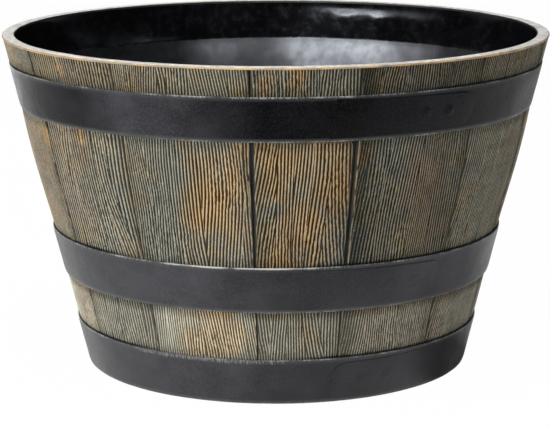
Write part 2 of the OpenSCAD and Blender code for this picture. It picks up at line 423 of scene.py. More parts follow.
def brushMarks(turn, z):
    # level smears left by the brush, away from the front, from 0 to 1
    marks = softNoise(73, turn / 0.14 + 64, z / 0.004) + 0.5 * softNoise(74, turn / 0.08 + 64, z / 0.0022)
    return smooth(0.0, 1.1, marks) * smooth(0.35, 0.7, np.abs(turn - 0.1))


def ledgeShade(turn, z):
    # painted shade: a dark line over a hoop's upper edge, left out where the ledge faces the light
    shade = np.zeros_like(turn)
    degrees = np.degrees(turn)
    for (_, high), (first, last) in zip(hoopBands, staves["litLedges"]):
        pale = within(degrees, first - 8, first + 8, last - 8, last + 8)
        over = z - high + 0.0006 * softNoise(75, turn / 0.02 + 64, z * 0)
        shade = np.maximum(shade, (1 - smooth(0.0012, 0.003, over)) * (over > -0.003) * (1 - 0.9 * pale))
    return shade


def swell(z):
    # the staves' swell between the middle and top hoops
    share = np.clip((z - hoopBands[1][1]) / (hoopBands[2][0] - hoopBands[1][1]), 0, 1)
    return staves["belly"] * np.sin(math.pi * share ** staves["bellyLift"])


def grooveShare(z, groove):
    # a groove is widest below the top hoop
    low, high = hoopBands[1][1], hoopBands[2][0]
    below, above = staves["narrowed"]
    below = staves["lowShares"].get(groove, below)
    above = staves["topShares"].get(groove, above)
    between = (z > low - staves["tuckedIn"]) & (z < high + staves["tuckedIn"])
    widening = staves["waist"] + (1 - staves["waist"]) * smooth(low, high, z)
    return np.where(between, widening, np.where(z < low, below, above))


def cornerCut(z):
    # how far a rounded corner draws a stave's edge in, just below the top hoop
    radius = staves["cornerRound"]
    below = np.clip(hoopBands[2][0] - z, 0, radius)
    cut = radius - np.sqrt(radius ** 2 - (radius - below) ** 2)
    return np.where(z < hoopBands[2][0] + staves["tuckedIn"], cut, 0)


def staveSlab(columns, rows):
    # a flat closed slab: its face is a grid, its back and ends are bridged
    bm = bmesh.new()
    bmesh.ops.create_grid(bm, x_segments=columns, y_segments=rows, size=1)
    ends = [e for e in bm.edges if e.is_boundary and abs(e.verts[0].co.y - e.verts[1].co.y) < 1e-6]
    made = bmesh.ops.extrude_edge_only(bm, edges=ends)["geom"]
    backVerts = {v for v in made if isinstance(v, bmesh.types.BMVert)}
    bmesh.ops.translate(bm, verts=list(backVerts), vec=(0, 0, -1))
    backEdges = [e for e in made if isinstance(e, bmesh.types.BMEdge) and set(e.verts) <= backVerts]
    bmesh.ops.bridge_loops(bm, edges=backEdges)
    for side in (-1, 1):
        loop = [e for e in bm.edges if e.is_boundary and min(v.co.x * side for v in e.verts) > 0.999]
        bmesh.ops.contextual_create(bm, geom=loop)
    bmesh.ops.recalc_face_normals(bm, faces=bm.faces[:])
    return bm


def staveTurns(number, start, width, sides, share, z):
    # the turn of each point, between the uneven grooves at the stave's sides
    wander = [1 + 0.22 * softNoise(100 * number + 13, z / 0.016, z * 0 + side) for side in (3, 7)]
    left, right = (staves["grooves"][groove] / cask["rimRadius"] / 2 * grooveShare(z, groove) * uneven
                   for groove, uneven in zip(sides, wander))
    if number == staves["roundedStave"]:
        right = right + cornerCut(z) / caskRadius(z)
    return start + left + (width - left - right) * share


def outerStrips(z):
    # below the middle hoop, and above the top one
    return z < hoopBands[1][0] + staves["tuckedIn"], z > hoopBands[2][1] - staves["tuckedIn"]


def paintStave(mesh, number, turn, z, across, toEdge, atLeft, wear, ridge, front):
    # the worn edge beside a groove carries rubbed paint, the groove's side stays bare
    seed = 100 * number
    lowStrip, topStrip = outerStrips(z)
    ragged = np.maximum(toEdge + 0.0005 * softNoise(seed + 14, across / 0.002, z / 0.004), 0)
    inside = smooth(0.0001, 0.0009, np.where(front, ragged, toEdge))
    crown = within(toEdge, 0.0004, 0.0009, 0.0012, 0.002)
    left, right = (staves[key].get(number, staves["bright"]) for key in ("brightLeft", "brightRight"))
    bright = np.where(atLeft, left, right) * np.where(lowStrip | topStrip, staves["brightStrips"], 1)
    bare = (1 - smooth(0.002, 0.03, toEdge)) * atLeft * (number == staves["bareStave"])
    coat = smooth(0.0, 0.014, toEdge + 0.004 * softNoise(seed + 12, across / 0.01, z / 0.02))
    coat = (0.6 + 0.4 * coat) * (1 - 0.7 * bare) * (1 - 0.2 * brushMarks(turn, z))
    tone, topTone, lowTone = (staves[key].get(number, staves["farTone"])
                              for key in ("tones", "topTones", "lowTones"))
    tone = np.select([lowStrip, topStrip], [lowTone, topTone], tone)
    tone = tone * (1 + 0.1 * softNoise(seed + 15, across / 0.03, z / 0.05))
    patches = {name: patchCover(turn, z, *patch) for name, patch in staves["patches"].items()}
    addNumbers(mesh, grain=np.where(front, ridge * inside, 0), coat=coat,
               rubbed=crown * bright * smooth(-0.8, 0.2, wear) * front, side=1 - inside * front,
               **patches, tone=tone, shade=ledgeShade(turn, z))


def makeStave(number, start, width, rows, material):
    name = "stave_%02d" % number
    seed = 100 * number
    sides = (number - 1, number % len(staves["grooves"]))  # the grooves at its left and right
    columns = round(width * cask["rimRadius"] / staves["column"])
    mesh = toMesh(staveSlab(columns, len(rows) - 1), name)
    flat = getPoints(mesh)
    share = (flat[:, 0] + 1) / 2
    z = rows[np.rint((flat[:, 1] + 1) / 2 * (len(rows) - 1)).astype(int)]
    front = flat[:, 2] > -0.5
    turn = staveTurns(number, start, width, sides, share, z)
    middleTurn = start + width / 2
    across = (turn - middleTurn) * caskRadius(z)
    pitch = staves["pitch"] * staves["pitches"].get(number, 1)
    pitch = np.select(outerStrips(z), staves["otherPitches"], 1) * pitch
    ridge = grainHeight(across, z, width * cask["rimRadius"] / 2, seed, pitch)
    atLeft = share < 0.5
    toEdge = np.minimum(share, 1 - share) * width * caskRadius(z)
    wear = softNoise(seed + 7, z / 0.007, share.round() * 9)
    gap = np.where(atLeft, *[staves["grooves"][groove] for groove in sides])
    arris = np.clip(1 - toEdge / (staves["arris"] + staves["arrisShare"] * gap), 0, 1)
    uneven = 0.85 + 0.3 * softNoise(seed + 8, across / 0.02, z / 0.03)
    cut = staves["relief"] * (1 - ridge) * (1 - arris) * uneven
    dip = staves["dip"] * (1 + softNoise(seed + 9, across / 0.03, z / 0.05))
    fall = (staves["arrisDrop"] + staves["dropShare"] * gap) * arris ** 2 * (1 + 0.35 * wear)
    out = np.where(front, swell(z) - cut - dip - fall, -cask["staveThick"])
    setPoints(mesh, roundCask(turn, z, out))
    paintStave(mesh, number, turn, z, across, toEdge, atLeft, wear, ridge, front)
    addPiece("grainStave%02d" % number, mesh, material, "pot", [name], 60)


def woodPaint():
    mat = startMaterial("dryBrushedWood")
    z = height(mat)
    fine = noise(mat, 620, 3, 0.7)
    cloud = noise(mat, 38, 3, 0.6)
    streaks = noise(mat, 90, 3, 0.6, (1, 1, 0.15))
    warm = numbers(mat, "warm")
    russet = times(mat, numbers(mat, "russet"), 0.8)
    patches = {"russet": russet, "slate": numbers(mat, "slate"), "warm": warm}
    cool = spread(mat, cloud, 0.42, 0.62)
    # the lowest strip is paler, but less so in the patches
    lowest = spread(mat, z, hoopBands[1][0], hoopBands[1][0] - 0.01)
    lowest = times(mat, lowest, spread(mat, calc(mat, "MAXIMUM", warm, russet), 0.2, 1, 0.75, 0.4))
    layers = []
    for name, coat in staves["coats"].items():
        colour = mixColour(mat, cool, *coat["plain"])
        for patch, cover in patches.items():
            if patch in coat:
                colour = mixColour(mat, cover, colour, coat[patch])
        if name == "ridge":
            colour = mixColour(mat, spread(mat, streaks, 0.5, 0.72, 0, 0.5), colour, staves["streak"])
        layers.append(mixColour(mat, lowest, colour, coat["lowest"]))
    hollow, flank, ridge = layers
    # the coat thins by the hoops and grooves
    nearHoop = 0.0
    for low, high in hoopBands:
        away = calc(mat, "ABSOLUTE", calc(mat, "SUBTRACT", z, (low + high) / 2))
        near = spread(mat, away, (high - low) / 2 + 0.001, (high - low) / 2 + 0.012, 1, 0)
        nearHoop = calc(mat, "MAXIMUM", near, nearHoop)
    cover = plus(mat, numbers(mat, "grain"), calc(mat, "SUBTRACT", fine, 0.5))
    thin = times(mat, spread(mat, nearHoop, 0, 1, 1, 0.6), numbers(mat, "coat"))
    thin = times(mat, thin, spread(mat, cloud, 0.3, 0.55, 0.78, 1))
    colour = mixColour(mat, times(mat, spread(mat, cover, 0.12, 0.45), thin), hollow, flank)
    colour = mixColour(mat, times(mat, spread(mat, cover, 0.5, 1.0), thin), colour, ridge)
    colour = mixColour(mat, numbers(mat, "rubbed"), colour, staves["rubbed"])
    # a few pale specks on the ridge tops: the pale coat caught there, and painted glints
    glintSpecks = spread(mat, noise(mat, 900, 2, 0.5), 0.56, 0.66, 0, 0.5)
    glintSpecks = times(mat, glintSpecks, spread(mat, cover, 0.75, 1.1))
    colour = mixColour(mat, glintSpecks, colour, staves["speckGlint"])
    colour = addNode(mat, "VectorMath", {0: colour, "Scale": numbers(mat, "tone")},
                     operation="SCALE").outputs[0]
    bare = mixColour(mat, spread(mat, streaks, 0.4, 0.65), *staves["undercoat"])
    colour = mixColour(mat, numbers(mat, "side"), colour, bare)
    # painted shade on the ledge over each hoop
    colour = mixColour(mat, times(mat, numbers(mat, "shade"), 0.9), colour, staves["ledge"])
    rough = spread(mat, fine, 0.3, 0.7, 0.5, 0.68)
    return plastic(mat, colour, rough, 0.05, bump(mat, noise(mat, 1100, 3, 0.6), 0.5, 0.0003))


def makeStaves():
    material = woodPaint()
    rows = staveRows()
    total = sum(staves["shares"])
    at = math.radians(staves["firstGroove"])
    for number, part in enumerate(staves["shares"], 1):
        width = 2 * math.pi * part / total
        makeStave(number, at, width, rows, material)
        at += width


makeStaves()
print("staves done")


# Hoops: a spun strap with soft edges, and a lap whose end stands out and is riveted
hoops = {
    "steps": 360,
    "corner": 0.0008,  # rounding of a strap's edges
    "crown": 0.0004,  # how far its face falls away towards them
    "crownReach": 0.005,
    "faceRows": 9,
    "wobble": 0.00018,  # shallow dents in its face
    "rub": 0.42,  # how hard paint was rubbed on the edges, and how far in it reaches
    "rubReach": 0.0022,
    # the base hoop's wider band of ticks: how hard, how far in, between which degrees
    "broadRub": 0.32,
    "broadReach": 0.0055,
    "broad": (-48, -38, -2, 6),
    "sheenSide": (-120, -90, -76, -53),  # degrees between which the lower hoops get painted sheen
    "lapReach": 0.135,  # how far the lap runs back from its tip
    "lapSink": 0.0005,  # how deep it is let into the strap
    "lapEdge": 0.0006,
    "lapCorner": 0.013,
    "cutEvery": 0.004,  # mesh spacing along it
    "lapRise": 0.0012,  # how far it stands out at the tip
    "lapRun": 0.00022,  # what is left of the rise at the tail
    "tipInset": 0.0052,  # how far its edges lie inside the strap's
    "tailInset": 0.0026,
    "rivetSetback": 0.028,  # from the tip to the first rivet, and on to the second
    "rivetPitch": 0.025,
    "rivetRadius": 0.006,
    "rivetRise": 0.0018,
    # tip: degrees right of the front at which the lap ends; side: the way that it points
    # lap, rivets: how far they stand out, as shares of lapRise and rivetRise
    # bright, mostRubAndHighlight: where and how strongly the upper edge is paled, by rubbed paint and a
    # painted highlight
    # dust: how much the strap is paled at some turns, in degrees, by dust and by painted sheen
    "straps": {
        "top": {"node": "top_hoop", "thick": 0.001, "tip": 43.7, "side": 1, "lap": 1.0, "rivets": 1.1,
                "bright": (-46, 24), "mostRubAndHighlight": 0.5,
                "dust": [(-180, 0.32), (-55, 0.26), (-44, 0.27), (-34, 0.95), (-24, 1), (-10, 0.24),
                         (-2, 0), (16, 0), (34, 0.25), (180, 0.32)]},
        "middle": {"node": "middle_hoop", "thick": 0.0018, "tip": 43.8, "side": 1, "lap": 0.8,
                   "rivets": 0.5, "bright": (-42, 6), "mostRubAndHighlight": 1.0,
                   "dust": [(-180, 0.8), (-60, 1), (-20, 1), (2, 0.43), (25, 0.43), (38, 0.95), (60, 0.8),
                            (180, 0.8)]},
        "base": {"node": "base_hoop", "thick": 0.0018, "tip": 15.1, "side": -1, "lap": 0.45,
                 "rivets": 0.25,
                 "dust": [(-180, 0.85), (-60, 1), (-20, 0.95), (2, 0.42), (25, 0.42), (38, 0.55),
                          (56, 0.38), (66, 1), (180, 0.85)]},
    },
    # the darker and lighter mottles and the flecks, each on a clean strap and on a dusty one with painted
    # sheen
    "mottles": [[(0.0003, 0.0003, 0.0004), (0.026, 0.026, 0.030)],
                [(0.0025, 0.0025, 0.003), (0.045, 0.045, 0.051)]],
    "flecks": [(0.012, 0.013, 0.015), (0.055, 0.056, 0.065)],
    # colour of the painted sheen along the edges
    "border": (0.085, 0.088, 0.085),
    # colour of the rubbed paint, and of the painted highlight on the upper edge
    "ticks": (0.50, 0.50, 0.47),
}


def hoopPaint():
    mat = startMaterial("charcoalStrap")
    mottle = times(mat, calc(mat, "SUBTRACT", noise(mat, 240, 4, 0.7), 0.5), 0.5)
    cloud = plus(mat, noise(mat, 22, 4, 0.55), mottle)
    grit = noise(mat, 850, 3, 0.7)
    dust = numbers(mat, "dust")
    # paler where the strap is dusty and where sheen is painted on
    dark, light = (mixColour(mat, dust, *pair) for pair in hoops["mottles"])
    colour = mixColour(mat, spread(mat, cloud, 0.36, 0.64), dark, light)
    flecks = mixColour(mat, dust, *hoops["flecks"])
    colour = mixColour(mat, spread(mat, grit, 0.45, 0.68), colour, flecks)
    # painted sheen towards both edges, and on the left side of the lower hoops
    colour = mixColour(mat, numbers(mat, "border"), colour, hoops["border"])
    # paint dragged over the edges in short upright ticks, and on the upper edge a painted highlight
    edge = numbers(mat, "edge")
    ticks = plus(mat, noise(mat, 760, 3, 0.6, (1, 1, 0.16)), times(mat, edge, 0.6))
    ticks = times(mat, spread(mat, ticks, 0.6, 0.84), edge, True)
    colour = mixColour(mat, ticks, colour, hoops["ticks"])
    rough = spread(mat, cloud, 0.35, 0.65, 0.34, 0.44)
    rough = plus(mat, rough, spread(mat, grit, 0.4, 0.7, -0.05, 0.08))
    dents = bump(mat, noise(mat, 90, 2, 0.5), 0.3, 0.0012)
    shine = spread(mat, height(mat), 0.25, 0.12, 0.09, 0.27)
    return plastic(mat, colour, rough, shine, bump(mat, grit, 0.6, 0.0007, dents))


def strapRise(fromEdge, thick):
    # height of a strap's face at a distance from its edge: a soft crown with a rounded corner
    corner = min(hoops["corner"], 0.7 * thick)
    inCorner = max(0, corner - fromEdge)
    fall = hoops["crown"] * (1 - min(1, fromEdge / hoops["crownReach"])) ** 2
    return thick - fall - (corner - math.sqrt(corner ** 2 - inCorner ** 2))


def strapRing(low, high, thick):
    # the plain strap: a spun outline, flat inside and crowned outside
    inner = cask["seatGap"]
    middle = (high - low) / 2
    corner = min(hoops["corner"], 0.7 * thick)
    steps = [corner * (1 - math.cos(math.radians(a))) for a in range(0, 90, 15)]
    steps += list(np.linspace(corner, hoops["crownReach"], 9))
    steps += list(np.linspace(hoops["crownReach"], middle, hoops["faceRows"])[1:])
    outline = [(caskRadius(low) + inner, low)]
    outline += [(caskRadius(low + step) + strapRise(step, thick), low + step) for step in steps]
    outline += [(caskRadius(high - step) + strapRise(step, thick), high - step) for step in steps[-2::-1]]
    outline += [(caskRadius(high) + inner, high)]
    return spinOutline(outline, hoops["steps"])


def lapSlab(halfHeight):
    # the lap laid flat: x runs back from the tip, y up, z out of the strap
    reach, corner = hoops["lapReach"], hoops["lapCorner"]
    tip, tail = halfHeight - hoops["tipInset"], halfHeight - hoops["tailInset"]
    bm = bmesh.new()
    verts = [bm.verts.new(p) for p in ((-reach, -tail, 0), (0, -tip, 0), (0, tip, 0), (-reach, tail, 0))]
    bm.faces.new(verts)
    bmesh.ops.bevel(bm, geom=verts[1:3], offset=corner, offset_type="OFFSET", segments=10, profile=0.5,
                    affect="VERTICES", material=-1)
    made = bmesh.ops.extrude_face_region(bm, geom=bm.faces[:])["geom"]
    top = [v for v in made if isinstance(v, bmesh.types.BMVert)]
    bmesh.ops.translate(bm, verts=top, vec=(0, 0, hoops["lapRise"] + hoops["lapSink"]))
    topSet = set(top)
    rims = [e for e in bm.edges if e.verts[0] in topSet and e.verts[1] in topSet]
    bmesh.ops.bevel(bm, geom=rims, offset=hoops["lapEdge"], offset_type="OFFSET", segments=3, profile=0.5,
                    affect="EDGES", material=-1, clamp_overlap=True)
    at = -reach + hoops["cutEvery"]
    while at < -0.001:
        bmesh.ops.bisect_plane(bm, geom=bm.verts[:] + bm.edges[:] + bm.faces[:], dist=1e-6,
                               plane_co=(at, 0, 0), plane_no=(1, 0, 0))
        at += hoops["cutEvery"]
    bmesh.ops.recalc_face_normals(bm, faces=bm.faces[:])
    return bm


def lapRise(back):
    # how far the lap stands out of the strap, at a distance back from its tip
    fade = smooth(0, hoops["lapReach"], back)
    return hoops["lapRise"] * (1 - fade) + hoops["lapRun"] * fade


def layLap(bm, band, hoop):
    # bends the flat lap round the strap
    middle = (band[0] + band[1]) / 2
    full = hoops["lapRise"] + hoops["lapSink"]
    for vert in bm.verts:
        x, y, z = vert.co
        share = z / full
        out = hoop["thick"] - hoops["lapSink"] + share * (hoops["lapSink"] + hoop["lap"] * lapRise(-x))
        high = middle + y
        turn = math.radians(hoop["tip"]) + hoop["side"] * x / caskRadius(high)
        vert.co = roundCask(turn, high, out)
    bmesh.ops.recalc_face_normals(bm, faces=bm.faces[:])


def addDustAndSheen(mesh, key):
    # paler at the listed turns: dust, and painted sheen
    points = getPoints(mesh)
    turn = turnsOf(points)
    patchy = 1 + 0.25 * awayFromSeam(turn) * softNoise(33, turn / 0.08 + 50, points[:, 2] / 0.01)
    addNumbers(mesh, dust=patchy * np.interp(np.degrees(turn), *zip(*hoops["straps"][key]["dust"])))


def markEdges(mesh, key, band, points, turn, out):
    # where paint was rubbed over a strap's edges, with a painted highlight on the upper edge between the
    # bright turns, and the painted sheen beside the edges
    hoop, plain = hoops["straps"][key], hoops["rub"]
    upper, lower = band[1] - points[:, 2], points[:, 2] - band[0]
    degrees = np.degrees(turn)
    around = turn * cask["rimRadius"]
    level = points[:, 2] * 0
    uneven = 0.7 + 0.3 * softNoise(31, around / 0.012 + 50, level)
    uneven = uneven + 0.25 * softNoise(32, around / 0.035 + 50, level)
    edge = (1 - smooth(0.0005, hoops["rubReach"], lower)) * plain * uneven
    hard, most = 0, plain
    # a painted highlight joins the rubbed paint on the upper edge between the bright turns
    if "bright" in hoop:
        first, last = hoop["bright"]
        hard = within(degrees, first - 8, first + 8, last - 6, last + 8)
        most = hoop["mostRubAndHighlight"]
    reach = hoops["rubReach"]
    if key == "top":
        reach = reach + 0.0005 * hard * (1 + softNoise(34, around / 0.006 + 50, level))
    edge = np.maximum(edge, (1 - smooth(0.0006, reach, upper)) * (plain + (most - plain) * hard) * uneven)
    if key == "base":
        broad = within(degrees, *hoops["broad"]) * (1 - smooth(0.002, hoops["broadReach"], upper))
        edge = np.maximum(edge, hoops["broadRub"] * broad)
    # painted sheen: paler bands along both edges, and on the left of the lower hoops
    border = 0.7 * (1 - smooth(0.001, 0.0042, lower)) + 0.4 * (1 - smooth(0.001, 0.005, upper))
    if key != "top":
        border = border + within(degrees, *hoops["sheenSide"])
    outside = out > 0.0002
    addNumbers(mesh, edge=edge * outside, border=border * (0.8 + 0.2 * uneven) * outside)


def leaveUnmarked(mesh):
    none = np.zeros(len(mesh.vertices))
    addNumbers(mesh, edge=none, border=none)


def makeHoop(key, material):
    hoop = hoops["straps"][key]
    band = (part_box(hoop["node"])[0].z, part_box(hoop["node"])[1].z)
    ring = toMesh(strapRing(band[0], band[1], hoop["thick"]), key + "Ring")
    points = getPoints(ring)
    turn = turnsOf(points)
    out = np.hypot(points[:, 0], points[:, 1]) - caskRadius(points[:, 2])
    skin = smooth(0.2 * hoop["thick"], 0.6 * hoop["thick"], out)
    dent = softNoise(len(key) * 11, turn * cask["rimRadius"] / 0.02 + 50, points[:, 2] / 0.012)
    out = out - skin * hoops["wobble"] * (1 + dent) * awayFromSeam(turn)
    setPoints(ring, roundCask(turn, points[:, 2], out))
    markEdges(ring, key, band, points, turn, out)
    addDustAndSheen(ring, key)
    lapBm = lapSlab((band[1] - band[0]) / 2)
    layLap(lapBm, band, hoop)
    lap = toMesh(lapBm, key + "Lap")
    addDustAndSheen(lap, key)
    leaveUnmarked(lap)
    joined = bmesh.new()
    joined.from_mesh(ring)
    joined.from_mesh(lap)
    mesh = toMesh(joined, key + "Hoop")
    addPiece(key + "Hoop", mesh, material, "pot", [hoop["node"]])


def rivetHead(rise):
    # a low dome with a soft skirt, closed below
    radius = hoops["rivetRadius"]
    ball = (rise * rise + radius * radius) / (2 * rise)
    span = math.degrees(math.asin((radius - 0.0006) / ball))
    outline = arc((0, rise - ball), ball, 90, 90 - span, 10)
    outline += [(radius, 0.0), (radius, -0.0007), (0, -0.0007)]
    return spinOutline(outline, 48, closed=False)


def makeRivets(key, material):
    hoop = hoops["straps"][key]
    low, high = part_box(hoop["node"])
    middle = (low.z + high.z) / 2
    both = bmesh.new()
    for i in range(2):
        back = hoops["rivetSetback"] + i * hoops["rivetPitch"]
        turn = math.radians(hoop["tip"]) - hoop["side"] * back / caskRadius(middle)
        out = hoop["thick"] + hoop["lap"] * float(lapRise(back))
        head = rivetHead(hoops["rivetRise"] * hoop["rivets"])
        facing = Matrix.Translation(Vector(roundCask(turn, middle, out)))
        tipped = Matrix.Rotation(math.radians(90) + math.atan(cask["lean"]), 4, "X")
        facing @= Matrix.Rotation(turn, 4, "Z") @ tipped
        bmesh.ops.transform(head, matrix=facing, verts=head.verts[:])
        one = toMesh(head, "oneRivet")
        both.from_mesh(one)
        bpy.data.meshes.remove(one)
    mesh = toMesh(both, key + "Rivets")
    addDustAndSheen(mesh, key)
    leaveUnmarked(mesh)
    addPiece(key + "Rivets", mesh, material, "pot", [hoop["node"] + "_rivets"])


def makeHoops():
    material = hoopPaint()
    for key in hoops["straps"]:
        makeHoop(key, material)
        makeRivets(key, material)


makeHoops()
print("hoops and rivets done")


# Rim: the painted ring that closes the top
rim = {
    "width": 0.0113,
    "outerRound": 0.0014,
    "innerRound": 0.0006,
    "steps": 360,
    "wobble": 0.00012,  # unevenness of its flat top
    "cream": [(0.60, 0.575, 0.53), (0.88, 0.865, 0.83)],
    "tan": [(0.30, 0.23, 0.135), (0.50, 0.31, 0.14)],  # along the outer edge
    "bare": (0.12, 0.115, 0.10),
    "innerEdge": (0.02, 0.02, 0.02),
}


def rimPaint():
    mat = startMaterial("rubbedRim")
    where = addNode(mat, "SeparateXYZ", {0: place(mat)})
    level = addNode(mat, "CombineXYZ", {0: where.outputs[0], 1: where.outputs[1]}).outputs[0]
    out = distance(mat, level)
    cloud = noise(mat, 18, 4, 0.6)
    brush = noise(mat, 160, 4, 0.6)
    cream = mixColour(mat, spread(mat, brush, 0.35, 0.65), *rim["cream"])
    tan = mixColour(mat, spread(mat, noise(mat, 45, 3, 0.6), 0.4, 0.6), *rim["tan"])
    edge = plus(mat, out, spread(mat, noise(mat, 260, 3, 0.65), 0.35, 0.65, -0.0002, 0.00015))
    outer = spread(mat, edge, cask["rimRadius"] - 0.0011, cask["rimRadius"] - 0.0005)
    colour = mixColour(mat, outer, cream, tan)
    bare = plus(mat, cloud, times(mat, calc(mat, "SUBTRACT", brush, 0.5), 0.6))
    colour = mixColour(mat, spread(mat, bare, 0.58, 0.74, 0, 0.6), colour, rim["bare"])
    inside = cask["rimRadius"] - rim["width"]
    inner = spread(mat, out, inside + 0.0003, inside + 0.0011, 1, 0)
    colour = mixColour(mat, inner, colour, rim["innerEdge"])
    rough = spread(mat, brush, 0.3, 0.7, 0.3, 0.5)
    return plastic(mat, colour, rough, 0.5, bump(mat, brush, 0.2, 0.0003))


def makeRim():
    low, top = rimLow.z, rimHigh.z
    outer, inner = cask["rimRadius"], cask["rimRadius"] - rim["width"]
    outline = [(inner, low), (caskRadius(low), low)]
    outline += arc((outer - rim["outerRound"], top - rim["outerRound"]), rim["outerRound"], 0, 90, 6)
    outline += [(outer - rim["width"] * f, top) for f in (0.35, 0.5, 0.65, 0.8)]
    outline += arc((inner + rim["innerRound"], top - rim["innerRound"]), rim["innerRound"], 90, 180, 3)
    mesh = toMesh(spinOutline(outline, rim["steps"]), "rimRing")
    points = getPoints(mesh)
    rising = smooth(low + 0.001, top, points[:, 2])
    lower = softNoise(5, turnsOf(points) * 12 + 60, points[:, 2] * 0) * rising
    points[:, 2] -= rim["wobble"] * (1 + lower) * rising
    setPoints(mesh, points)
    addPiece("rimRing", mesh, rimPaint(), "pot", ["rim"])


makeRim()
print("rim done")


# Tub: black inside wall, floor with drain holes, foot ring
tub = {
    "collar": 0.0375,  # depth at which the thick upper wall has thinned
    "floorLift": 0.008,
    "floorThick": 0.004,
    "cornerRadius": 0.012,
    "footWidth": 0.012,
    "flange": 0.004,  # height of the foot that closes the staves' lower ends
    "steps": 480,
    "drainCircle": 0.105,
    "drainRadius": 0.008,
    "drainTurns": (45, 135, 225, 315),
    "holeSteps": 48,
    "wave": 0.00022,  # how far the inside wall sways in and out
    "weldTurn": 160,  # a faint upright line left by the moulding
    "weldWidth": 0.0045,
    "weldRise": 0.00022,
    # shallow dents beside it, under the rim: degrees, height, reach, depth
    "dents": [(162.4, 0.2993, 0.012, 0.00078), (153.9, 0.2978, 0.011, 0.00052), (161, 0.3, 0.055, 0.00045),
              (142, 0.2975, 0.045, 0.0005)],
    "dentTall": 0.0068,  # half their height
    "black": [(0.002, 0.002, 0.0024), (0.006, 0.006, 0.007)],
    "undercoat": (0.040, 0.046, 0.048),  # the outer side, seen in the grooves
    "gloss": (0.87, 0.915, 1, 1),
    "blend": 0.001,  # half the height over which the collar's gloss gives way to the wall's
}


def tubPaint():
    mat = startMaterial("blackTub")
    cloud = noise(mat, 16, 3, 0.55)
    scuff = noise(mat, 120, 4, 0.6)
    colour = mixColour(mat, spread(mat, scuff, 0.45, 0.75), *tub["black"])
    colour = mixColour(mat, numbers(mat, "outside"), colour, tub["undercoat"])
    z = height(mat)
    collarZ = cask["height"] - tub["collar"]
    wallEnd, collarStart = collarZ - tub["blend"], collarZ + tub["blend"]
    dented = numbers(mat, "dented")
    # the wall under the collar is duller, and its sheen fades downwards
    rough = spread(mat, z, wallEnd, collarStart, 0.31, 0.1)
    rough = plus(mat, rough, spread(mat, cloud, 0.3, 0.7, -0.03, 0.04))
    rough = plus(mat, rough, spread(mat, scuff, 0.4, 0.75, 0, 0.07))
    rough = plus(mat, rough, times(mat, numbers(mat, "outside"), 0.4))
    rough = plus(mat, rough, times(mat, dented, 0.15))
    shine = spread(mat, z, wallEnd, collarStart, 1.0, 0.62)
    shine = times(mat, shine, spread(mat, noise(mat, 34, 4, 0.6), 0.35, 0.65, 0.78, 1.22))
    shine = times(mat, shine, spread(mat, dented, 0, 1, 1, 0.75))
    shine = times(mat, shine, spread(mat, z, collarZ - 0.004, collarZ - 0.03, 1.35, 0.7))
    low = bump(mat, noise(mat, 26, 2, 0.5), 0.07, 0.004)
    normal = bump(mat, noise(mat, 300, 3, 0.6), 0.06, 0.0004, low)
    return plastic(mat, colour, rough, shine, normal, tub["gloss"])


def tubOutline():
    under = rimLow.z - cask["seatGap"]
    skin = cask["staveThick"] + cask["seatGap"]
    wall = cask["staveThick"] + cask["wallThick"]
    floorTop = tub["floorLift"] + tub["floorThick"]
    taper = math.degrees(math.atan(cask["lean"]))
    foot = cask["footRadius"] - tub["footWidth"]
    collarZ = cask["height"] - tub["collar"]
    cornerZ = floorTop + tub["cornerRadius"]
    cornerX = caskRadius(cornerZ) - wall - tub["cornerRadius"] / math.cos(math.radians(taper))
    collarTop = cask["rimRadius"] - rim["width"]
    outline = [(foot, tub["floorLift"]), (foot, 0.0008), (foot + 0.0008, 0), (caskRadius(0) - 0.0006, 0),
               (caskRadius(0.0006), 0.0006), (caskRadius(tub["flange"]), tub["flange"]),
               (caskRadius(tub["flange"]) - skin, tub["flange"])]
    outline += [(caskRadius(z) - skin, z) for z in np.linspace(0.06, under, 5)]
    collarIn = caskRadius(collarZ) - wall - collarTop
    outline += [(collarTop + collarIn * f, under + (collarZ - under) * f) for f in np.linspace(0, 1, 21)]
    outline += [(caskRadius(z) - wall, z) for z in np.linspace(collarZ, cornerZ + 0.002, 41)[1:]]
    outline += arc((cornerX, cornerZ), tub["cornerRadius"], -taper, -90, 10)
    return outline


def drainPlace(degrees, z):
    a = math.radians(degrees)
    return (tub["drainCircle"] * math.sin(a), -tub["drainCircle"] * math.cos(a), z)


def floorSheet(bm, loop, z):
    # fills the flat floor between its outer edge and the drain holes; returns the holes' edges
    holes = []
    for turn in tub["drainTurns"]:
        ring = bmesh.ops.create_circle(bm, segments=tub["holeSteps"], radius=tub["drainRadius"],
                                       matrix=Matrix.Translation(drainPlace(turn, z)))
        around = set(ring["verts"])
        holes.append([e for e in bm.edges if e.verts[0] in around and e.verts[1] in around])
    bmesh.ops.triangle_fill(bm, edges=loop + [e for hole in holes for e in hole], use_beauty=True)
    return holes


